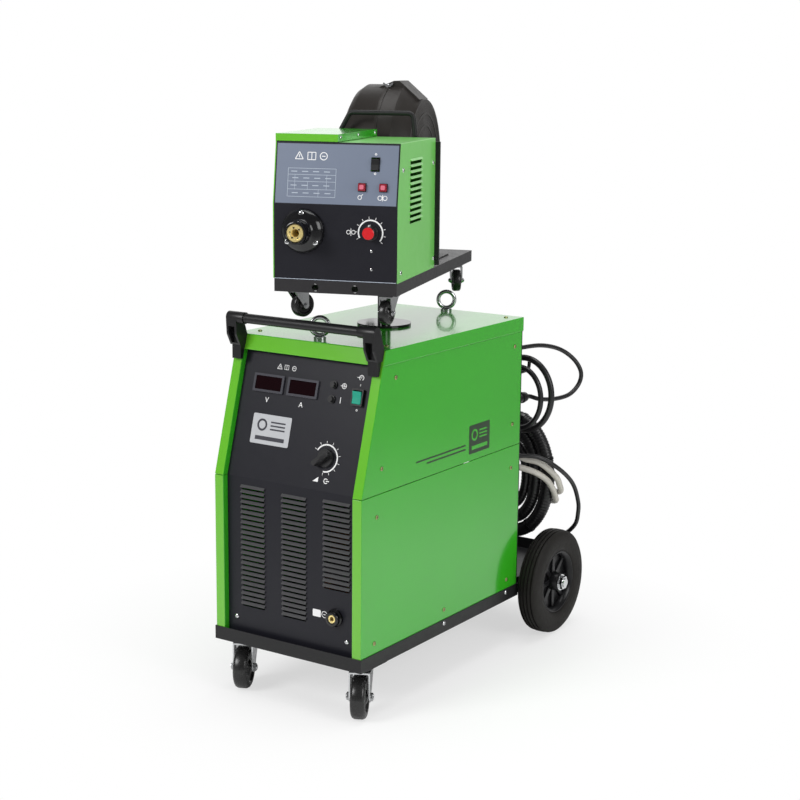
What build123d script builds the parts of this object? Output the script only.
"""MIG welder: a wheeled power source with a swivelling wire feeder on top.

Millimetres, +Z up. X runs across the machine, positive to the right when standing in front of it, and Y runs
towards the back. The origin is on the floor, under the middle of the whole machine.
The power source is drawn in the CART frame, and all that swivels with the feeder in the FEED frame.
"""

from build123d import *
from math import cos, hypot, radians, sin
import os

os.makedirs("parts", exist_ok=True)

# ---------------------------------------------------------------- driving dimensions
SHEET = 2.0  # folded steel sheet
RUN = 0.05  # radial running clearance of every pivot
DATUM = 5.0  # heights in both frames are counted from this far under the floor

CAB_W = 368.0  # power source width over its side panels
CAB_D = 614.0  # power source depth, front flange to rear panel
BASE_Z = 112.5  # underside of the base tray
BASE_LIP = 28.0  # height of the base tray's lip
SEAM_Z = 466.0  # joint of lower and upper side panels, where the front starts to slope
SEAM_GAP = 1.2  # open joint between those panels
LIP_Z = 719.0  # lower edge of the top cover's lip
TOP_Z = 750.0  # top of the power source
LEAN = 0.278  # slope of the upper front: rearward run per unit of height
FLANGE = 22.0  # front-facing strip of a side panel
RECESS = 14.0  # front panel set back behind those strips

FEED_W = 247.0  # feeder width
FEED_D = 279.0  # depth of the feeder's box
FEED_LEN = 611.6  # length of the feeder's tray
FEED_Z = 860.0  # underside of the feeder's tray
FEED_LIP = 24.0  # height of the feeder's tray
FEED_BEND_Z = 1030.0  # where the feeder's front starts to slope
FEED_TOP_Z = 1147.6  # top of the fixed right-hand half of the feeder
FEED_LEAN = 0.16  # slope of the feeder's upper front
DOOR_Z = 1162.6  # top of the hinged left-hand door
FEED_YAW = 18.0  # the feeder stands turned by this angle
PIVOT_Y = 343.0  # swivel pedestal, behind the cabinet front
PIVOT_IN_FEED = 339.0  # the same pivot, behind the front of the feeder's tray

WHEEL_R = 120.0  # rear wheels
WHEEL_W = 50.0
WHEEL_X = 213.0  # middle of a rear wheel
AXLE_Y = 721.0
AXLE_Z = DATUM + WHEEL_R
AXLE_R = 10.0
PLATFORM_END = 866.0  # rear edge of the bottle platform

FRAME_Y = 406.232  # cabinet front to the middle of the machine's footprint

# ---------------------------------------------------------------- frames and helpers
CART = Plane(origin=(0, -FRAME_Y, -DATUM), x_dir=(1, 0, 0), z_dir=(0, 0, 1))


def turned_frame(frame, x, y, angle):
    """A level frame at a point of another one, turned about the vertical."""
    turn = radians(angle)
    across = frame.x_dir * cos(turn) + frame.y_dir * sin(turn)
    return Plane(origin=frame.from_local_coords((x, y, 0)), x_dir=across, z_dir=(0, 0, 1))


FEED = turned_frame(
    CART,
    PIVOT_IN_FEED * sin(radians(FEED_YAW)),
    PIVOT_Y - PIVOT_IN_FEED * cos(radians(FEED_YAW)),
    FEED_YAW,
)


def level(frame, z):
    """Horizontal plane: sketch x is across, sketch y runs back."""
    return frame.offset(z)


def facing(frame, y):
    """Upright plane that faces the front: sketch x is across, sketch y is up."""
    return Plane(origin=frame.from_local_coords((0, y, 0)), x_dir=frame.x_dir, z_dir=-frame.y_dir)


def sideways(frame, x):
    """Upright plane that faces right: sketch x runs back, sketch y is up."""
    return Plane(origin=frame.from_local_coords((x, 0, 0)), x_dir=frame.y_dir, z_dir=frame.x_dir)


def on_slope(frame, bend_z, lean, y, x, z):
    """Plane lying in a sloped front that starts at bend_z, with its origin at (x, z); sketch y runs uphill."""
    normal = (frame.z_dir * lean - frame.y_dir).normalized()
    origin = frame.from_local_coords((x, y + (z - bend_z) * lean, z))
    return Plane(origin=origin, x_dir=frame.x_dir, z_dir=normal)


def lathe(frame, at, along):
    """Plane whose sketch x is a turning axis through a point and whose sketch y is the radius."""
    axes = {"right": frame.x_dir, "front": -frame.y_dir, "up": frame.z_dir}
    side = frame.x_dir if along == "front" else -frame.y_dir
    return Plane(origin=frame.from_local_coords(at), x_dir=axes[along], z_dir=side)


def prism(plane, outline, depth, mode=Mode.ADD):
    """Extrude a closed outline into the piece being built."""
    with BuildSketch(plane) as profile:
        with BuildLine():
            Polyline(*outline, close=True)
        make_face()
    extrude(profile.sketch, amount=depth, mode=mode)


def block(frame, x0, x1, y0, y1, z0, z1, mode=Mode.ADD):
    """A box between two corners."""
    prism(level(frame, z0), [(x0, y0), (x1, y0), (x1, y1), (x0, y1)], z1 - z0, mode)


def rod(plane, centres, radius, length, mode=Mode.ADD):
    """Round bars or holes that stand on a plane."""
    with BuildSketch(plane) as profile:
        with Locations(*centres):
            Circle(radius)
    extrude(profile.sketch, amount=length, mode=mode)


def spin(plane, outline, mode=Mode.ADD):
    """Revolve an outline of (distance along the axis, radius) points about the x axis of a lathe plane."""
    with BuildSketch(plane) as profile:
        with BuildLine():
            Polyline(*outline, close=True)
        make_face()
    revolve(profile.sketch, axis=Axis(plane.origin, plane.x_dir), mode=mode)


def band(plane, start, end, inner, outer):
    """Revolve a ring between two distances along the axis and two radii."""
    spin(plane, [(start, inner), (start, outer), (end, outer), (end, inner)])


def hose(frame, points, radius):
    """A round cable through points, with flat ends."""
    with BuildPart() as cable:
        with BuildLine() as path:
            Spline(*[frame.from_local_coords(p) for p in points])
        with BuildSketch(Plane(origin=path.line @ 0, z_dir=path.line % 0)):
            Circle(radius)
        sweep()
    return cable.part


def hank(x, y, z, half_width, half_height, radius):
    """One closed turn of a cable coil that hangs behind the power source."""
    loop_plane = facing(CART, y)
    with BuildPart() as turn:
        with BuildLine(loop_plane):
            EllipticalCenterArc((x, z), half_width, half_height, arc_size=360)
        start = loop_plane.from_local_coords((x + half_width, z, 0))
        with BuildSketch(Plane(origin=start, z_dir=(0, 0, 1))):
            Circle(radius)
        sweep()
    return turn.part


def front_y(z):
    """How far back the power source's front face lies at a height."""
    return max(0.0, z - SEAM_Z) * LEAN


def panel_spot(x, z):
    """A place on the sloped part of the recessed front panel."""
    return on_slope(CART, SEAM_Z, LEAN, RECESS, x, z)


def feeder_spot(x, z):
    """A place on the sloped part of the feeder's front."""
    return on_slope(FEED, FEED_BEND_Z, FEED_LEAN, 0, x, z)


# ---------------------------------------------------------------- power source: base
FLOOR_Z = BASE_Z + SHEET  # everything inside stands on this
CASTOR_X = 148.0  # swivel axis of a front castor
CASTOR_Y = 56.0
PLATE_T = 3.0  # castor mounting plate

with BuildPart() as base_tray:
    block(CART, -CAB_W / 2 - SHEET, CAB_W / 2 + SHEET, -SHEET, CAB_D + SHEET, BASE_Z, BASE_Z + BASE_LIP)
    block(CART, -CAB_W / 2, CAB_W / 2, 0, CAB_D, FLOOR_Z, BASE_Z + BASE_LIP, Mode.SUBTRACT)
    with BuildSketch(level(CART, BASE_Z - PLATE_T)):
        with Locations((-CASTOR_X, CASTOR_Y), (CASTOR_X, CASTOR_Y)):
            RectangleRounded(70, 84, 6)
    extrude(amount=PLATE_T)
base_tray.part.label = "base_tray"
export_step(base_tray.part, "parts/base_tray.step")

PLATFORM_X = 165.0  # half width
PLATFORM_TOP = 142.0  # the gas bottle stands here, clear above the axle
PLATFORM_T = 3.0
SKIRT_Z = 104.0
PLATFORM_Y = CAB_D + SHEET

with BuildPart() as bottle_platform:
    block(CART, -PLATFORM_X, PLATFORM_X, PLATFORM_Y, PLATFORM_END, SKIRT_Z, PLATFORM_TOP)
    block(
        CART,
        -PLATFORM_X + PLATFORM_T,
        PLATFORM_X - PLATFORM_T,
        PLATFORM_Y + PLATFORM_T,
        PLATFORM_END - PLATFORM_T,
        SKIRT_Z,
        PLATFORM_TOP - PLATFORM_T,
        Mode.SUBTRACT,
    )
    inside = PLATFORM_END - PLATFORM_T
    block(CART, -PLATFORM_X, PLATFORM_X, inside, PLATFORM_END, PLATFORM_TOP, PLATFORM_TOP + 26)
    rod(sideways(CART, -PLATFORM_X), [(AXLE_Y, AXLE_Z)], AXLE_R, 2 * PLATFORM_X, Mode.SUBTRACT)
bottle_platform.part.label = "bottle_platform"
export_step(bottle_platform.part, "parts/bottle_platform.step")

# ---------------------------------------------------------------- rear wheels on a fixed axle
HUB_IN = WHEEL_X - 26.0  # ends of a hub along the axle
HUB_OUT = WHEEL_X + 26.0
SIDE_PLAY = 0.5
WASHER_T = 2.0
NUT_T = 8.0
AXLE_END = HUB_OUT + SIDE_PLAY + WASHER_T + NUT_T + 3

with BuildPart() as rear_axle:
    with BuildSketch(sideways(CART, 0)):
        with Locations((AXLE_Y, AXLE_Z)):
            Circle(AXLE_R)
    extrude(amount=AXLE_END, both=True)
    collar_x = PLATFORM_X + (HUB_IN - SIDE_PLAY - PLATFORM_X) / 2
    washer_x = HUB_OUT + SIDE_PLAY + WASHER_T / 2
    nut_x = washer_x + (WASHER_T + NUT_T) / 2
    for side in (-1, 1):
        with BuildSketch(sideways(CART, side * collar_x)):
            with Locations((AXLE_Y, AXLE_Z)):
                Circle(AXLE_R + 6)
        extrude(amount=(HUB_IN - SIDE_PLAY - PLATFORM_X) / 2, both=True)
        with BuildSketch(sideways(CART, side * washer_x)):
            with Locations((AXLE_Y, AXLE_Z)):
                Circle(AXLE_R + 9)
        extrude(amount=WASHER_T / 2, both=True)
        with BuildSketch(sideways(CART, side * nut_x)):
            with Locations((AXLE_Y, AXLE_Z)):
                RegularPolygon(AXLE_R + 6, 6)
        extrude(amount=NUT_T / 2, both=True)
rear_axle.part.label = "rear_axle"
export_step(rear_axle.part, "parts/rear_axle.step")

RIM_R = 72.0
WEB_R = 62.0  # the rim's inner radius


def rear_wheel(side, name):
    """A solid rubber tyre with four tread grooves on a moulded hub with six lightening holes."""
    section = lathe(CART, (side * WHEEL_X, AXLE_Y, AXLE_Z), "right")
    axis = Axis(section.origin, section.x_dir)
    groove_spots = [(x, WHEEL_R) for x in (-13.5, -4.5, 4.5, 13.5)]
    with BuildPart() as tyre:
        with BuildSketch(section):
            with Locations((0, (RIM_R + WHEEL_R) / 2)):
                Rectangle(WHEEL_W, WHEEL_R - RIM_R)
            fillet(vertices().group_by(Axis.Y)[-1], 11)
            with Locations(*groove_spots):
                Rectangle(2.6, 6, mode=Mode.SUBTRACT)
        revolve(axis=axis)
    with BuildPart() as hub:
        bore = AXLE_R + RUN
        half_hub = (HUB_OUT - HUB_IN) / 2
        half_rim = WHEEL_W / 2 - 7
        spin(section, [(-half_hub, bore), (half_hub, bore), (half_hub, 20), (-half_hub, 20)])
        spin(section, [(-4, 18), (4, 18), (4, WEB_R + 2), (-4, WEB_R + 2)])
        spin(section, [(-half_rim, WEB_R), (half_rim, WEB_R), (half_rim, RIM_R), (-half_rim, RIM_R)])
        with BuildSketch(sideways(CART, side * WHEEL_X)):
            with Locations((AXLE_Y, AXLE_Z)):
                with PolarLocations(41, 6):
                    Circle(11.5)
        extrude(amount=half_rim, both=True, mode=Mode.SUBTRACT)
    return Compound(label=name, children=[tyre.part, hub.part])


rear_wheel_left = rear_wheel(-1, "rear_wheel_left")
rear_wheel_right = rear_wheel(1, "rear_wheel_right")
export_step(rear_wheel_left, "parts/rear_wheel_left.step")
export_step(rear_wheel_right, "parts/rear_wheel_right.step")


# ---------------------------------------------------------------- swivel castors
def castor(frame, floor_z, plate_z, wheel_r, wheel_w, trail, steel, race_r, pin_r):
    """Fork and wheel of a castor that swivels about the frame's origin; the wheel trails to the front."""
    crown_z = plate_z - 2 * steel - steel
    axle_z = floor_z + wheel_r
    gap = 0.12 * wheel_w
    leg_x = wheel_w / 2 + gap
    ear = 2.2 * pin_r
    with BuildPart() as fork:
        rod(level(frame, crown_z + steel), [(0, 0)], race_r, plate_z - crown_z - steel)
        block(frame, -leg_x - steel, leg_x + steel, -trail - ear, race_r * 0.8, crown_z, crown_z + steel)
        leg = [
            (race_r * 0.6, crown_z + steel),
            (-trail - ear, crown_z + steel),
            (-trail - ear, axle_z),
            (-trail + ear, axle_z),
        ]
        for side in (-1, 1):
            inner = sideways(frame, leg_x if side > 0 else -leg_x - steel)
            prism(inner, leg, steel)
            rod(inner, [(-trail, axle_z)], ear, steel)
            nut = sideways(frame, leg_x + steel if side > 0 else -leg_x - steel - pin_r)
            with BuildSketch(nut):
                with Locations((-trail, axle_z)):
                    RegularPolygon(1.7 * pin_r, 6)
            extrude(amount=pin_r)
        with BuildSketch(sideways(frame, 0)):
            with Locations((-trail, axle_z)):
                Circle(pin_r)
        extrude(amount=leg_x + steel + pin_r + 1.5, both=True)
    half = wheel_w / 2
    soft = 0.22 * wheel_w  # rounding of the tread
    bore = pin_r + RUN
    section = lathe(frame, (0, -trail, axle_z), "right")
    with BuildPart() as wheel:
        with BuildSketch(section):
            with BuildLine():
                Polyline((-half, wheel_r - soft), (-half, bore), (half, bore), (half, wheel_r - soft))
                RadiusArc((half, wheel_r - soft), (half - soft, wheel_r), -soft)
                Line((half - soft, wheel_r), (soft - half, wheel_r))
                RadiusArc((soft - half, wheel_r), (-half, wheel_r - soft), -soft)
            make_face()
        revolve(axis=Axis(section.origin, section.x_dir))
    return fork, wheel


CART_CASTORS = {"left": (-CASTOR_X, 25.0), "right": (CASTOR_X, 27.0)}  # swivel axis and heading
for place, (x, heading) in CART_CASTORS.items():
    swivel = turned_frame(CART, x, CASTOR_Y, heading)
    fork, wheel = castor(swivel, DATUM, BASE_Z - PLATE_T, 45.4, 30.0, 28.0, 3.0, 26.0, 5.0)
    fork.part.label = f"castor_fork_{place}"
    export_step(fork.part, f"parts/castor_fork_{place}.step")
    wheel.part.label = f"castor_wheel_{place}"
    export_step(wheel.part, f"parts/castor_wheel_{place}.step")

# ---------------------------------------------------------------- power source: housing
RETURN_D = 20.0  # fold behind a front strip


def side_panel(side, z0, z1):
    """Folded side sheet: wall, front-facing strip, the return behind it and a rear flange."""
    edge = side * CAB_W / 2
    f0 = front_y(z0)
    f1 = front_y(z1)
    rear = CAB_D - SHEET

    def fold(depth0, depth1, start, width):
        """A strip from depth0 to depth1 behind the front line, extruded inwards from the panel's edge."""
        outline = [(f0 + depth0, z0), (f1 + depth0, z1), (f1 + depth1, z1), (f0 + depth1, z0)]
        prism(sideways(CART, edge - side * start), outline, -side * width)

    with BuildPart() as panel:
        prism(sideways(CART, edge), [(f0, z0), (f1, z1), (rear, z1), (rear, z0)], -side * SHEET)
        fold(0, SHEET, 0, FLANGE)
        fold(0, RETURN_D, FLANGE - SHEET, SHEET)
        flange = [(rear - SHEET, z0), (rear, z0), (rear, z1), (rear - SHEET, z1)]
        prism(sideways(CART, edge), flange, -side * 16)
    return panel


for side, place in ((-1, "left"), (1, "right")):
    lower = side_panel(side, FLOOR_Z, SEAM_Z - SEAM_GAP / 2)
    lower.part.label = f"lower_side_{place}"
    export_step(lower.part, f"parts/lower_side_{place}.step")
    upper = side_panel(side, SEAM_Z + SEAM_GAP / 2, TOP_Z - SHEET)
    upper.part.label = f"upper_side_{place}"
    export_step(upper.part, f"parts/upper_side_{place}.step")

PANEL_X = CAB_W / 2 - FLANGE  # half width of the front panel, between the returns
PANEL_TOP = LIP_Z - SHEET
LOUVRE_PITCH = 10.8
HOOD_H = 5.3
HOOD_D = 3.5  # how far a louvre's hood stands out
SLOT_H = 5.0  # opening under a hood
# x, width, lowest z and count of each column
LOUVRES = [(-95.5, 61.5, 196.0, 24), (9.5, 62.0, 192.5, 24), (115.0, 66.0, 272.0, 17)]

with BuildPart() as front_panel:
    panel_y = RECESS + front_y(PANEL_TOP)
    outline = [
        (RECESS, FLOOR_Z),
        (RECESS, SEAM_Z),
        (panel_y, PANEL_TOP),
        (panel_y + SHEET, PANEL_TOP),
        (RECESS + SHEET, SEAM_Z),
        (RECESS + SHEET, FLOOR_Z),
    ]
    prism(sideways(CART, -PANEL_X), outline, 2 * PANEL_X)
    for x, width, low, count in LOUVRES:
        heights = [low + LOUVRE_PITCH * i for i in range(count)]
        with BuildSketch(sideways(CART, x)):
            for z in heights:
                with BuildLine():
                    Polyline(
                        (RECESS + 0.5, z),
                        (RECESS - HOOD_D, z),
                        (RECESS - HOOD_D, z + 1),
                        (RECESS, z + HOOD_H),
                        (RECESS + 0.5, z + HOOD_H),
                        close=True,
                    )
                make_face()
        extrude(amount=width / 2, both=True)
        with BuildSketch(facing(CART, RECESS)):
            with Locations(*[(x, z - SLOT_H / 2) for z in heights]):
                Rectangle(width - 4, SLOT_H)
        extrude(amount=-SHEET, mode=Mode.SUBTRACT)
front_panel.part.label = "front_panel"
export_step(front_panel.part, "parts/front_panel.step")

with BuildPart() as top_cover:
    rear = CAB_D + SHEET
    outer = [(front_y(LIP_Z) - SHEET, LIP_Z), (front_y(TOP_Z) - SHEET, TOP_Z), (rear, TOP_Z), (rear, LIP_Z)]
    prism(sideways(CART, -CAB_W / 2 - SHEET), outer, CAB_W + 2 * SHEET)
    under = TOP_Z - SHEET
    inner = [(front_y(LIP_Z), LIP_Z), (front_y(under), under), (CAB_D, under), (CAB_D, LIP_Z)]
    prism(sideways(CART, -CAB_W / 2), inner, CAB_W, Mode.SUBTRACT)
top_cover.part.label = "top_cover"
export_step(top_cover.part, "parts/top_cover.step")

FAN_Z = 370.0  # height of the fan behind the rear panel's grille

with BuildPart() as rear_panel:
    block(CART, -CAB_W / 2, CAB_W / 2, CAB_D - SHEET, CAB_D, FLOOR_Z, TOP_Z - SHEET)
    with BuildSketch(facing(CART, CAB_D)):
        with Locations((0, FAN_Z)):
            with GridLocations(0, 16, 1, 9):
                SlotOverall(150, 7)
    extrude(amount=SHEET, mode=Mode.SUBTRACT)
rear_panel.part.label = "rear_panel"
export_step(rear_panel.part, "parts/rear_panel.step")

# ---------------------------------------------------------------- power source: fittings on top
EYE_SPOTS = [(0, 114.0), (0, 590.0)]
EYE_R = 18.0  # middle of the ring
EYE_WIRE = 4.5
EYE_NECK = 3.0  # the ring stands this high above the cover, just clear of the feeder's castors
EYE_TURN = 34.0

with BuildPart() as eye_bolts:
    rod(level(CART, TOP_Z), EYE_SPOTS, 12.5, EYE_NECK + 2)
    for x, y in EYE_SPOTS:
        ring_centre = CART.from_local_coords((x, y, TOP_Z + EYE_NECK + EYE_R + EYE_WIRE))
        ring_plane = turned_frame(CART, x, y, EYE_TURN)
        with BuildSketch(Plane(origin=ring_centre, x_dir=ring_plane.x_dir, z_dir=(0, 0, 1))):
            with Locations((EYE_R, 0)):
                Circle(EYE_WIRE)
        revolve(axis=Axis(ring_centre, ring_plane.y_dir))
eye_bolts.part.label = "eye_bolts"
export_step(eye_bolts.part, "parts/eye_bolts.step")

POST_R = 14.0
COLLAR_Z = 826.0  # the feeder's sleeve turns on this collar
SLEEVE_TOP = FEED_Z + FEED_LIP - SHEET

with BuildPart() as swivel_pedestal:
    rod(level(CART, TOP_Z), [(0, PIVOT_Y)], 57.5, 5.5)
    rod(level(CART, TOP_Z), [(0, PIVOT_Y)], POST_R, SLEEVE_TOP - 12 - TOP_Z)
    rod(level(CART, COLLAR_Z - 8), [(0, PIVOT_Y)], 21, 8)
swivel_pedestal.part.label = "swivel_pedestal"
export_step(swivel_pedestal.part, "parts/swivel_pedestal.step")

HANDLE_Y = 52.0  # push handle tube
HANDLE_Z = 786.0
HANDLE_R = 10.0
SOCKET_R = 12.0
SOCKET_IN = 141.0  # inner end of a socket
ARM_IN = 157.0  # the brackets' inner and outer faces
ARM_OUT = 183.0
ARM_LOW = 729.0  # lower end of the arm, where its narrower foot begins
FOOT_LOW = 700.0
TUBE_END = 168.0

with BuildPart() as handle_tube:
    rod(sideways(CART, -TUBE_END), [(HANDLE_Y, HANDLE_Z)], HANDLE_R, 2 * TUBE_END)


def handle_bracket(side):
    """Moulded arm with a socket for the tube, an open channel in front and a foot on the side panel's strip."""
    arm = [
        (HANDLE_Y - SOCKET_R, HANDLE_Z),
        (HANDLE_Y - SOCKET_R + 2, 752),
        (54, ARM_LOW),
        (front_y(ARM_LOW) - SHEET, ARM_LOW),
        (front_y(TOP_Z) - SHEET, TOP_Z),
        (HANDLE_Y + SOCKET_R, HANDLE_Z),
    ]
    foot = [
        (56, ARM_LOW),
        (56, FOOT_LOW),
        (front_y(FOOT_LOW) - SHEET, FOOT_LOW),
        (front_y(ARM_LOW) - SHEET, ARM_LOW),
    ]
    with BuildPart() as bracket:
        prism(sideways(CART, side * ARM_IN), arm, side * (ARM_OUT - ARM_IN))
        prism(sideways(CART, side * (ARM_IN + 1)), foot, side * (ARM_OUT - ARM_IN - 4))
        rod(sideways(CART, side * SOCKET_IN), [(HANDLE_Y, HANDLE_Z)], SOCKET_R, side * (ARM_OUT - SOCKET_IN))
        middle = side * (ARM_IN + ARM_OUT) / 2
        block(CART, middle - 8, middle + 8, 0, 58, 733, 768, Mode.SUBTRACT)
        rod(sideways(CART, 0), [(HANDLE_Y, HANDLE_Z)], HANDLE_R, side * TUBE_END, Mode.SUBTRACT)
    return bracket.part


push_handle = Compound(label="push_handle", children=[handle_tube.part, handle_bracket(-1), handle_bracket(1)])
export_step(push_handle, "parts/push_handle.step")

WALL_SCREWS = [
    (115, 691),
    (68, 516),
    (581, 689),
    (577, 516),
    (575, 417),
    (52, 421),
    (46, 162),
    (305, 162),
    (566, 161),
]
TRAY_SCREWS = [(303, 133), (561, 133)]
HEAD_R = 4.5
HEAD_T = 2.5

with BuildPart() as panel_screws:
    for side in (-1, 1):
        rod(sideways(CART, side * CAB_W / 2), WALL_SCREWS, HEAD_R, side * HEAD_T)
        rod(sideways(CART, side * (CAB_W / 2 + SHEET)), TRAY_SCREWS, HEAD_R, side * HEAD_T)
        rod(level(CART, TOP_Z), [(side * 158, 120), (side * 158, 585)], HEAD_R, HEAD_T)
        rod(facing(CART, RECESS), [(side * 140, 165)], HEAD_R + 1, HEAD_T + 1)
        rod(facing(CART, CAB_D), [(side * 174, z) for z in (160, 415, 516, 690)], HEAD_R, -HEAD_T)
panel_screws.part.label = "panel_screws"
export_step(panel_screws.part, "parts/panel_screws.step")

# ---------------------------------------------------------------- power source: front panel controls
with BuildPart() as panel_meters:
    for x in (-92, -6):
        spot = panel_spot(x, 655)
        with BuildSketch(spot):
            RectangleRounded(76, 37, 2)
        extrude(amount=4)
        with BuildSketch(spot.offset(2.5)):
            RectangleRounded(66, 28, 1)
        extrude(amount=1.5, mode=Mode.SUBTRACT)
panel_meters.part.label = "panel_meters"
export_step(panel_meters.part, "parts/panel_meters.step")

ROCKER_SPOT = panel_spot(130, 652)
SWITCH_W = 28.0
SWITCH_H = 34.0
SWITCH_T = 7.0

with BuildPart() as panel_fittings:
    for z in (670, 642):
        rod(panel_spot(68, z), [(0, 0)], 8, 4)
        rod(panel_spot(68, z), [(0, 0)], 5.5, 9)
    with BuildSketch(ROCKER_SPOT):
        RectangleRounded(SWITCH_W, SWITCH_H, 2)
        Rectangle(SWITCH_W - 6, SWITCH_H - 6, mode=Mode.SUBTRACT)
    extrude(amount=SWITCH_T)
panel_fittings.part.label = "panel_fittings"
export_step(panel_fittings.part, "parts/panel_fittings.step")


def rocker(spot, width, height, low, top):
    """A rocker button about its spot's x axis, resting with its lower end pressed in."""
    tilt = radians(8)
    up = spot.y_dir * cos(tilt) + spot.z_dir * sin(tilt)
    across = Plane(origin=spot.from_local_coords((-width / 2, 0, 0)), x_dir=up, z_dir=spot.x_dir)
    half = height / 2
    outline = [(-half, low), (half, low), (half, top), (0, top - 1.6), (-half, top)]
    with BuildPart() as button:
        prism(across, outline, width)
    return button


power_rocker = rocker(ROCKER_SPOT.offset(3.0), SWITCH_W - 7, 25, -0.8, 6)
power_rocker.part.label = "power_rocker"
export_step(power_rocker.part, "parts/power_rocker.step")


def pointer_knob(spot, radius, height, grip, nose, turn):
    """A round skirt with a bar grip whose longer end, the nose, points to the dial."""
    with BuildPart() as knob:
        with BuildSketch(spot.offset(0.5)):
            Circle(radius)
        extrude(amount=height * 0.3, taper=12)
        with BuildSketch(spot.offset(0.5)):
            with Locations(Rotation(0, 0, turn)):
                with Locations((-nose / 2, 0)):
                    SlotOverall(2 * radius + 2 + nose, grip)
        extrude(amount=height, taper=4)
    return knob


voltage_knob = pointer_knob(panel_spot(76, 529), 19, 19, 13, 7, 38)
voltage_knob.part.label = "voltage_knob"
export_step(voltage_knob.part, "parts/voltage_knob.step")

EARTH_X = 112.0
EARTH_Z = 211.0
EARTH_BORE = 4.5
EARTH_SLEEVE = 8.5  # where the brass contact meets its housing
earth_axis = lathe(CART, (EARTH_X, RECESS, EARTH_Z), "front")

with BuildPart() as earth_housing:
    spin(
        earth_axis,
        [(0, EARTH_SLEEVE), (0, 18), (5, 18), (6.5, 15.5), (13, 15.5), (14, 14), (14, EARTH_SLEEVE)],
    )
with BuildPart() as earth_contact:
    spin(earth_axis, [(0, EARTH_BORE), (0, EARTH_SLEEVE), (12, EARTH_SLEEVE), (12, EARTH_BORE)])
earth_socket = Compound(label="earth_socket", children=[earth_housing.part, earth_contact.part])
export_step(earth_socket, "parts/earth_socket.step")

# ---------------------------------------------------------------- power source: inside
LIMB_XS = (-86.0, 0.0, 86.0)  # transformer limbs
LIMB_W = 38.0
CORE_TOP = 330.0
CORE_Y = 330.0
CORE_D = 80.0
CHOKE_X = 40.0  # half distance between the choke's limbs
CHOKE_Y = 190.0
CHOKE_TOP = 250.0

with BuildPart() as iron_cores:
    block(CART, -105, 105, CORE_Y, CORE_Y + CORE_D, FLOOR_Z, CORE_TOP)
    for x in (-43, 43):
        block(CART, x - 24, x + 24, CORE_Y, CORE_Y + CORE_D, FLOOR_Z + LIMB_W, CORE_TOP - LIMB_W, Mode.SUBTRACT)
    block(CART, -CHOKE_X - 15, CHOKE_X + 15, CHOKE_Y, CHOKE_Y + 50, FLOOR_Z, CHOKE_TOP)
    block(CART, -CHOKE_X + 15, CHOKE_X - 15, CHOKE_Y, CHOKE_Y + 50, FLOOR_Z + 30, CHOKE_TOP - 30, Mode.SUBTRACT)
iron_cores.part.label = "iron_cores"
export_step(iron_cores.part, "parts/iron_cores.step")

with BuildPart() as copper_windings:
    for x in LIMB_XS:
        with BuildSketch(level(CART, FLOOR_Z + LIMB_W + 4)):
            with Locations((x, CORE_Y + CORE_D / 2)):
                RectangleRounded(LIMB_W + 40, CORE_D + 44, 18)
                Rectangle(LIMB_W, CORE_D, mode=Mode.SUBTRACT)
        extrude(amount=CORE_TOP - FLOOR_Z - 2 * LIMB_W - 8)
    for x in (-CHOKE_X, CHOKE_X):
        with BuildSketch(level(CART, FLOOR_Z + 32)):
            with Locations((x, CHOKE_Y + 25)):
                RectangleRounded(50, 74, 12)
                Rectangle(30, 50, mode=Mode.SUBTRACT)
        extrude(amount=CHOKE_TOP - FLOOR_Z - 64)
copper_windings.part.label = "copper_windings"
export_step(copper_windings.part, "parts/copper_windings.step")

with BuildPart() as rectifier:
    block(CART, -70, 70, 470, 478, FLOOR_Z, 235)
    for i in range(10):
        fin_x = -67.5 + 15 * i
        block(CART, fin_x - 1.25, fin_x + 1.25, 478, 515, FLOOR_Z, 235)
    rod(facing(CART, 470), [(-40, 180), (0, 180), (40, 180)], 13, 12)
rectifier.part.label = "rectifier"
export_step(rectifier.part, "parts/rectifier.step")

FAN_SHAFT_R = 4.0
MOTOR_Y = 566.0

with BuildPart() as fan_motor:
    block(CART, -110, 110, CAB_D - SHEET - 4, CAB_D - SHEET, FAN_Z - 62, FAN_Z - 46)
    block(CART, -10, 10, MOTOR_Y + 10, CAB_D - SHEET, FAN_Z - 62, FAN_Z - 30)
    rod(facing(CART, MOTOR_Y), [(0, FAN_Z)], 34, -36)
    rod(facing(CART, MOTOR_Y), [(0, FAN_Z)], FAN_SHAFT_R, 32)
fan_motor.part.label = "fan_motor"
export_step(fan_motor.part, "parts/fan_motor.step")

with BuildPart() as fan_blade:
    rod(facing(CART, MOTOR_Y - 6), [(0, FAN_Z)], 17, 18)
    hub_centre = CART.from_local_coords((0, MOTOR_Y - 15, FAN_Z))
    for i in range(5):
        angle = radians(72 * i)
        outwards = Vector(cos(angle), 0, sin(angle))
        chord = Vector(-sin(angle), -0.7, cos(angle))
        with BuildSketch(Plane(origin=hub_centre + outwards * 13, x_dir=chord, z_dir=outwards)):
            Rectangle(30, 2.5)
        extrude(amount=70)
    rod(facing(CART, MOTOR_Y), [(0, FAN_Z)], FAN_SHAFT_R + RUN, 40, Mode.SUBTRACT)
fan_blade.part.label = "fan_blade"
export_step(fan_blade.part, "parts/fan_blade.step")

with BuildPart() as control_board:
    board = panel_spot(0, 600)
    with BuildSketch(board.offset(-30)):
        Rectangle(230, 130)
    extrude(amount=-1.6)
    with BuildSketch(board.offset(-30)):
        with GridLocations(210, 110, 2, 2):
            Circle(4)
    extrude(amount=30 - SHEET * hypot(1, LEAN) + 0.14)
    with BuildSketch(board.offset(-31.6)):
        with GridLocations(46, 40, 4, 3):
            Rectangle(22, 14)
    extrude(amount=-12)
control_board.part.label = "control_board"
export_step(control_board.part, "parts/control_board.step")

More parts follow.
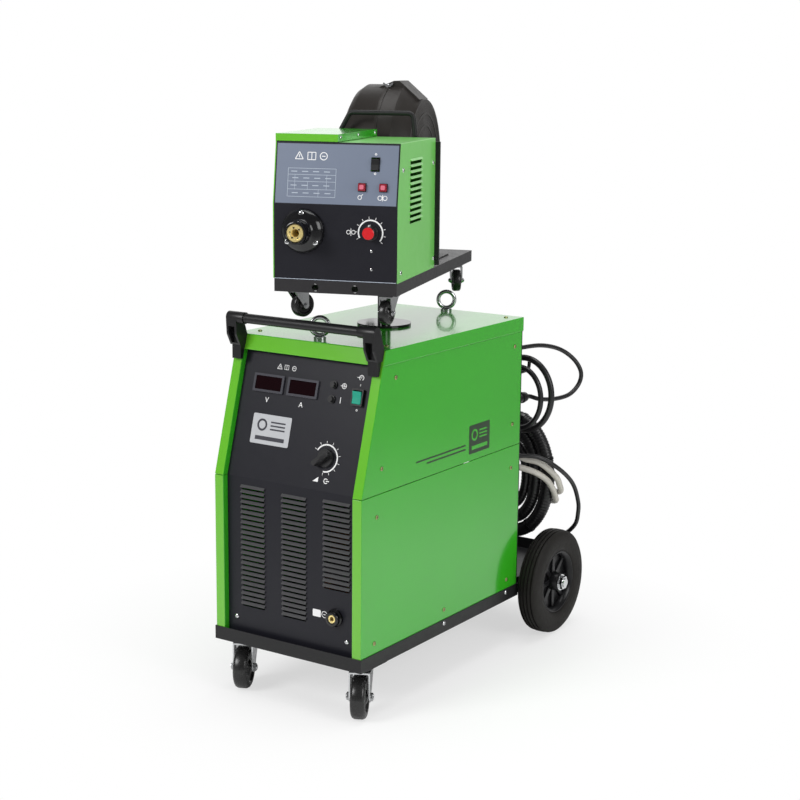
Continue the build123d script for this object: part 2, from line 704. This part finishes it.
# ---------------------------------------------------------------- power source: behind the rear panel
with BuildPart() as bottle_bracket:
    block(CART, -70, 70, CAB_D, CAB_D + 3, 600, 640)
    for side in (-1, 1):
        cradle = [(side * 70, CAB_D), (side * 98, CAB_D + 46), (side * 94.6, CAB_D + 48), (side * 66, CAB_D)]
        prism(level(CART, 606), cradle, 28)
bottle_bracket.part.label = "bottle_bracket"
export_step(bottle_bracket.part, "parts/bottle_bracket.step")

CONTROL_GLAND = (170.0, 563.0)
GLAND_L = 26.0
PLUG_L = 44.5  # the control lead ends in a longer plug
GLANDS = [CONTROL_GLAND, (150, 672), (120, 440), (150, 425), (118, 400), (40, 470)]

with BuildPart() as cable_glands:
    rod(facing(CART, CAB_D), GLANDS, 11, -GLAND_L)
    rod(facing(CART, CAB_D), [CONTROL_GLAND], 12.5, -PLUG_L)
cable_glands.part.label = "cable_glands"
export_step(cable_glands.part, "parts/cable_glands.step")

# Cables hang in turns behind the power source; each turn is a closed ring and each tail a swept hose.
mains_tails = [
    hose(
        CART,
        [(120, 641, 440), (122, 653, 438), (158, 680, 414), (189, 700, 404), (213, 730, 371), (217, 745, 346),
         (206, 768, 326), (170, 790, 318), (110, 796, 330)],
        7,
    ),
    hose(
        CART,
        [(118, 641, 400), (121, 652, 400), (152, 666, 396), (182, 688, 384), (200, 712, 364), (207, 730, 340),
         (204, 748, 318), (196, 766, 303), (165, 786, 297), (105, 794, 308)],
        7,
    ),
]
mains_cable = Compound(label="mains_cable", children=mains_tails)
export_step(mains_cable, "parts/mains_cable.step")

LOOM_Y = 752.0  # sleeved loom of the feeder's cables
harness = [
    hank(90, LOOM_Y, 355, 92, 136, 16),
    hank(90, LOOM_Y, 355, 60, 104, 14),
    hank(90, LOOM_Y, 355, 34, 72, 11),
    hank(150, 688, 562, 70, 83, 7),
    hank(146, 672, 556, 56, 70, 6),
    hose(
        CART,
        [(150, 641, 672), (152, 655, 672), (172, 720, 671), (187, 780, 656), (209, 808, 632), (224, 818, 603),
         (221, 818, 575), (213, 790, 553), (200, 750, 547), (187, 700, 552), (174, 674, 561), (170, 661, 563)],
        5,
    ),
    hose(
        CART,
        [(150, 641, 425), (153, 652, 425), (192, 684, 421), (223, 722, 393), (231, 780, 347), (232, 810, 296),
         (229, 816, 262), (222, 820, 240), (208, 822, 222), (190, 824, 206), (172, 812, 184), (160, 802, 164),
         (152, 796, 149)],
        5,
    ),
]
interconnect_cables = Compound(label="interconnect_cables", children=harness)
export_step(interconnect_cables, "parts/interconnect_cables.step")

# ---------------------------------------------------------------- wire feeder: tray and castors
HALF = FEED_W / 2
TRAY_TOP = FEED_Z + FEED_LIP
LIP_HOLE_R = 7.0
LIP_HOLE_Z = 870.5
STRIP_T = 2.5
FEED_CASTORS = {  # swivel axis and heading
    "front_left": (-107.0, 70.0, 146.0),
    "front_right": (95.0, 60.0, 352.0),
    "rear_left": (-97.0, 570.0, 205.0),
    "rear_right": (97.0, 570.0, 20.0),
}

with BuildPart() as feeder_tray:
    block(FEED, -HALF, HALF, 0, FEED_LEN, FEED_Z, TRAY_TOP)
    block(FEED, -HALF + SHEET, HALF - SHEET, SHEET, FEED_LEN - SHEET, FEED_Z, TRAY_TOP - SHEET, Mode.SUBTRACT)
    for y in (30.0, 532.0):
        block(FEED, -HALF + SHEET, HALF - SHEET, y, y + 72, FEED_Z, FEED_Z + STRIP_T)
    for x, y, heading in FEED_CASTORS.values():
        block(FEED, x - 16, x + 16, y - 23, y + 23, FEED_Z - STRIP_T, FEED_Z)
    rod(level(FEED, COLLAR_Z), [(0, PIVOT_IN_FEED)], 20, TRAY_TOP - SHEET - COLLAR_Z)
    rod(level(FEED, COLLAR_Z), [(0, PIVOT_IN_FEED)], POST_R + RUN, TRAY_TOP - SHEET - COLLAR_Z, Mode.SUBTRACT)
    rod(facing(FEED, 0), [(-40, LIP_HOLE_Z), (40, LIP_HOLE_Z)], LIP_HOLE_R, -SHEET, Mode.SUBTRACT)
feeder_tray.part.label = "feeder_tray"
export_step(feeder_tray.part, "parts/feeder_tray.step")

for place, (x, y, heading) in FEED_CASTORS.items():
    swivel = turned_frame(FEED, x, y, heading)
    fork, wheel = castor(swivel, 799.0, FEED_Z - STRIP_T, 24.0, 18.0, 20.0, 2.0, 16.0, 3.0)
    fork.part.label = f"feeder_fork_{place}"
    export_step(fork.part, f"parts/feeder_fork_{place}.step")
    wheel.part.label = f"feeder_wheel_{place}"
    export_step(wheel.part, f"parts/feeder_wheel_{place}.step")

# ---------------------------------------------------------------- wire feeder: box
FEED_RISE = (FEED_TOP_Z - FEED_BEND_Z) * FEED_LEAN  # how far the sloped front leans back
TORCH_X = -64.0  # the wire's line
TORCH_Z = 979.0
INSERT_R = 17.5
BUTTON_SPOTS = {"gas_button": feeder_spot(52.5, 1065), "inch_button": feeder_spot(94.5, 1065)}
BUTTON_W = 14.0
FEED_ROCKER = feeder_spot(76.5, 1108)

with BuildPart() as feeder_front:
    outline = [
        (0, TRAY_TOP),
        (0, FEED_BEND_Z),
        (FEED_RISE, FEED_TOP_Z),
        (FEED_RISE + SHEET, FEED_TOP_Z),
        (SHEET, FEED_BEND_Z),
        (SHEET, TRAY_TOP),
    ]
    prism(sideways(FEED, -HALF), outline, FEED_W)
    rod(facing(FEED, 0), [(TORCH_X, TORCH_Z)], INSERT_R, -SHEET, Mode.SUBTRACT)
    for spot in BUTTON_SPOTS.values():
        with BuildSketch(spot.offset(1)):
            Rectangle(BUTTON_W + 0.6, BUTTON_W + 0.6)
        extrude(amount=-4, mode=Mode.SUBTRACT)
    with BuildSketch(FEED_ROCKER.offset(1)):
        Rectangle(15.6, 25)
    extrude(amount=-4, mode=Mode.SUBTRACT)
feeder_front.part.label = "feeder_front"
export_step(feeder_front.part, "parts/feeder_front.step")

FEED_LOUVRES = 11
FEED_LOUVRE_PITCH = 11.4
FEED_LOUVRE_Y = (88.0, 176.0)
FEED_LOUVRE_Z = 997.0

with BuildPart() as feeder_case:
    shell = [
        (SHEET, TRAY_TOP),
        (SHEET, FEED_BEND_Z),
        (FEED_RISE + SHEET, FEED_TOP_Z),
        (FEED_D, FEED_TOP_Z),
        (FEED_D, TRAY_TOP),
    ]
    prism(sideways(FEED, -SHEET), shell, HALF + SHEET)
    ceiling = FEED_TOP_Z - SHEET
    hollow = [
        (SHEET - 1, TRAY_TOP),
        (SHEET - 1, FEED_BEND_Z),
        (FEED_RISE - 1, ceiling),
        (FEED_D - SHEET, ceiling),
        (FEED_D - SHEET, TRAY_TOP),
    ]
    prism(sideways(FEED, 0), hollow, HALF - SHEET, Mode.SUBTRACT)
    block(FEED, -HALF + SHEET, -SHEET, FEED_D - SHEET, FEED_D, TRAY_TOP, ceiling)
    middle = sum(FEED_LOUVRE_Y) / 2
    width = FEED_LOUVRE_Y[1] - FEED_LOUVRE_Y[0]
    heights = [FEED_LOUVRE_Z + FEED_LOUVRE_PITCH * i for i in range(FEED_LOUVRES)]
    with BuildSketch(facing(FEED, middle)):
        for z in heights:
            hood = [(HALF - 0.5, z), (HALF + 3, z), (HALF + 3, z + 1), (HALF, z + 4.2), (HALF - 0.5, z + 4.2)]
            with BuildLine():
                Polyline(*hood, close=True)
            make_face()
    extrude(amount=width / 2, both=True)
    with BuildSketch(sideways(FEED, HALF)):
        with Locations(*[(middle, z - 3.2) for z in heights]):
            Rectangle(width - 4, 6.4)
    extrude(amount=-SHEET, mode=Mode.SUBTRACT)
feeder_case.part.label = "feeder_case"
export_step(feeder_case.part, "parts/feeder_case.step")

DOOR_GAP = 1.0
DOOR_REAR = FEED_D - 2
DOOR_LOW = TRAY_TOP + 2
DOOR_SKIRT = FEED_TOP_Z + DOOR_GAP  # lower edge of the door's raised rim
DOOR_EDGE = FEED_RISE - 1  # front of the raised rim

with BuildPart() as feeder_door:
    wall = [
        (0, DOOR_LOW),
        (0, FEED_BEND_Z),
        (FEED_RISE, FEED_TOP_Z),
        (DOOR_EDGE, FEED_TOP_Z),
        (DOOR_EDGE, DOOR_Z),
        (DOOR_REAR, DOOR_Z),
        (DOOR_REAR, DOOR_LOW),
    ]
    prism(sideways(FEED, -HALF - SHEET), wall, SHEET)
    block(FEED, -HALF - SHEET, 0, DOOR_EDGE, DOOR_REAR, DOOR_SKIRT, DOOR_Z)
    block(FEED, -HALF, -SHEET, DOOR_EDGE + SHEET, DOOR_REAR - SHEET, DOOR_SKIRT, DOOR_Z - SHEET, Mode.SUBTRACT)
    rod(sideways(FEED, -HALF - SHEET), [(45, 930), (235, 930)], 9, -4)
feeder_door.part.label = "feeder_door"
export_step(feeder_door.part, "parts/feeder_door.step")

PLATE_X = HALF + 9.5  # the rear plate stands proud of the box
PLATE_LOW = TRAY_TOP + 5
PLATE_TOP = 1140.0
PLATE_FOLD = 6.0

with BuildPart() as feeder_rear_plate:
    block(FEED, -PLATE_X, PLATE_X, FEED_D, FEED_D + PLATE_FOLD, PLATE_LOW, PLATE_TOP)
    inner_x = PLATE_X - SHEET
    back = FEED_D + PLATE_FOLD
    block(FEED, -inner_x, inner_x, FEED_D + SHEET, back, PLATE_LOW + SHEET, PLATE_TOP - SHEET, Mode.SUBTRACT)
feeder_rear_plate.part.label = "feeder_rear_plate"
export_step(feeder_rear_plate.part, "parts/feeder_rear_plate.step")

BAIL_R = 5.0
BAIL_Y = FEED_D + 12

with BuildPart() as feeder_handle:
    with BuildLine(facing(FEED, BAIL_Y)) as bail:
        FilletPolyline((-88, 1122), (-88, 1148), (-62, 1195), (72, 1195), (77, 1150), (77, 1122), radius=12)
    with BuildSketch(Plane(origin=bail.line @ 0, z_dir=bail.line % 0)):
        Circle(BAIL_R)
    sweep()
    for x in (-88, 77):
        block(FEED, x - 6, x + 6, FEED_D + PLATE_FOLD, BAIL_Y + 3, 1112, 1136)
feeder_handle.part.label = "feeder_handle"
export_step(feeder_handle.part, "parts/feeder_handle.step")

TORCH_LEN = 50.0
torch_axis = lathe(FEED, (TORCH_X, 0, TORCH_Z), "front")

with BuildPart() as torch_housing:
    flange = [(0, INSERT_R), (0, 43), (5, 43), (10, 39.5), (16, 31), (20, 25), (24, 22)]
    spin(torch_axis, flange + [(TORCH_LEN, 22), (TORCH_LEN, INSERT_R)])
with BuildPart() as torch_insert:
    spin(torch_axis, [(-12, 7), (-12, INSERT_R), (TORCH_LEN - 3, INSERT_R), (TORCH_LEN - 3, 7)])
torch_socket = Compound(label="torch_socket", children=[torch_housing.part, torch_insert.part])
export_step(torch_socket, "parts/torch_socket.step")

for name, spot in BUTTON_SPOTS.items():
    with BuildPart() as button:
        with BuildSketch(spot.offset(-7)):
            RectangleRounded(BUTTON_W, BUTTON_W, 1.5)
        extrude(amount=13)
    button.part.label = name
    export_step(button.part, f"parts/{name}.step")

feeder_rocker = rocker(FEED_ROCKER, 15.0, 21, -4, 5)
feeder_rocker.part.label = "feeder_rocker"
export_step(feeder_rocker.part, "parts/feeder_rocker.step")

with BuildPart() as speed_knob:
    spin(
        lathe(FEED, (71, 0, 980), "front"),
        [(0.5, 0), (0.5, 15), (3, 15), (4, 13.5), (16, 12.5), (17.5, 11), (17.5, 0)],
    )
    block(FEED, 69.7, 72.3, -17.0, -4, 986, 995.5)
speed_knob.part.label = "speed_knob"
export_step(speed_knob.part, "parts/speed_knob.step")

# ---------------------------------------------------------------- wire feeder: drive rolls behind the door
ROLL_Y = 130.0
ROLL_R = 20.0
ROLL_W = 12.0
ROLL_SHAFT_R = 5.0
WIRE_GAP = 1.0
GEARBOX_X = -50.0  # face that carries the rolls
ROLL_ZS = {"drive_roll": TORCH_Z - WIRE_GAP / 2 - ROLL_R, "pressure_roll": TORCH_Z + WIRE_GAP / 2 + ROLL_R}
shaft_end = TORCH_X - ROLL_W / 2 - 1

with BuildPart() as drive_unit:
    block(FEED, GEARBOX_X, -SHEET, 75, 185, 915, 1035)
    roll_spots = [(ROLL_Y, z) for z in ROLL_ZS.values()]
    rod(sideways(FEED, GEARBOX_X), roll_spots, 9, TORCH_X + ROLL_W / 2 + 0.5 - GEARBOX_X)
    rod(sideways(FEED, GEARBOX_X), roll_spots, ROLL_SHAFT_R, shaft_end - GEARBOX_X)
    rod(sideways(FEED, shaft_end), roll_spots, 8, -4)
    # wire guides before and after the rolls
    for start, end, post in ((22, 106, 90), (154, FEED_D - SHEET, 162)):
        rod(facing(FEED, end), [(TORCH_X, TORCH_Z)], 3, end - start)
        block(FEED, TORCH_X, GEARBOX_X, post, post + 8, TORCH_Z - 3, TORCH_Z + 3)
    rod(sideways(FEED, 0), [(ROLL_Y, ROLL_ZS["drive_roll"])], 32, 92)
drive_unit.part.label = "drive_unit"
export_step(drive_unit.part, "parts/drive_unit.step")

for name, z in ROLL_ZS.items():
    half = ROLL_W / 2
    bore = ROLL_SHAFT_R + RUN
    with BuildPart() as roll:
        rim = [(half, ROLL_R), (1, ROLL_R), (0, ROLL_R - 0.8), (-1, ROLL_R), (-half, ROLL_R)]
        spin(lathe(FEED, (TORCH_X, ROLL_Y, z), "right"), [(-half, bore), (half, bore)] + rim)
    roll.part.label = name
    export_step(roll.part, f"parts/{name}.step")

# ---------------------------------------------------------------- wire feeder: spool and its cover
SPOOL_Y = 452.0
SPOOL_Z = 1085.0
SPOOL_AXLE_R = 25.0
COVER_R = 165.0
COVER_LEFT = -95.0
COVER_RIGHT = 55.0
SEAM_X = -16.0  # where the cover's two halves meet
COVER_T = 3.0
spool_axis = lathe(FEED, (0, SPOOL_Y, SPOOL_Z), "right")

with BuildPart() as spool_cover:
    spin(
        spool_axis,
        [(COVER_LEFT, SPOOL_AXLE_R), (COVER_LEFT, 122), (-91, 140), (-82, 155), (-67, COVER_R), (20, COVER_R),
         (COVER_RIGHT, 134), (COVER_RIGHT, SPOOL_AXLE_R)],
    )
    band(spool_axis, SEAM_X - 5, SEAM_X + 5, COVER_R - 1, COVER_R + 2)
    for r in (55, 80, 105):
        band(spool_axis, COVER_RIGHT - 1, COVER_RIGHT + 1.2, r - 2, r + 2)
    crest = SPOOL_Z + COVER_R
    prism(
        facing(FEED, SPOOL_Y - 44),
        [(-50, crest - 12), (-2, crest + 8), (10, crest + 8), (54, crest - 30), (20, crest - 44),
         (-50, crest - 44)],
        -68,
    )
    t = COVER_T
    spin(
        spool_axis,
        [(COVER_LEFT + t, 0), (COVER_LEFT + t, 121), (-88, 138.5), (-80, 152.5), (-66, COVER_R - t),
         (19, COVER_R - t), (COVER_RIGHT - t, 132.5), (COVER_RIGHT - t, 0)],
        Mode.SUBTRACT,
    )
    split(bisect_by=sideways(FEED, SEAM_X), keep=Keep.BOTH)
spool_cover.part.label = "spool_cover"
export_step(spool_cover.part, "parts/spool_cover.step")

BRACKET_X = COVER_RIGHT + 2.0

with BuildPart() as spool_bracket:
    upright = [(400, TRAY_TOP), (504, TRAY_TOP), (482, SPOOL_Z + 30), (422, SPOOL_Z + 30)]
    prism(sideways(FEED, BRACKET_X), upright, 3)
    block(FEED, BRACKET_X, BRACKET_X + 40, 400, 504, TRAY_TOP, TRAY_TOP + 3)
    rod(sideways(FEED, BRACKET_X), [(SPOOL_Y, SPOOL_Z)], SPOOL_AXLE_R, COVER_LEFT - 2 - BRACKET_X)
    rod(sideways(FEED, COVER_LEFT), [(SPOOL_Y, SPOOL_Z)], 32, -5)
spool_bracket.part.label = "spool_bracket"
export_step(spool_bracket.part, "parts/spool_bracket.step")

with BuildPart() as wire_spool:
    bore = SPOOL_AXLE_R + RUN
    spin(
        spool_axis,
        [(-76, bore), (-76, 150), (-72, 150), (-72, 138), (24, 138), (24, 150), (28, 150), (28, bore)],
    )
wire_spool.part.label = "wire_spool"
export_step(wire_spool.part, "parts/wire_spool.step")
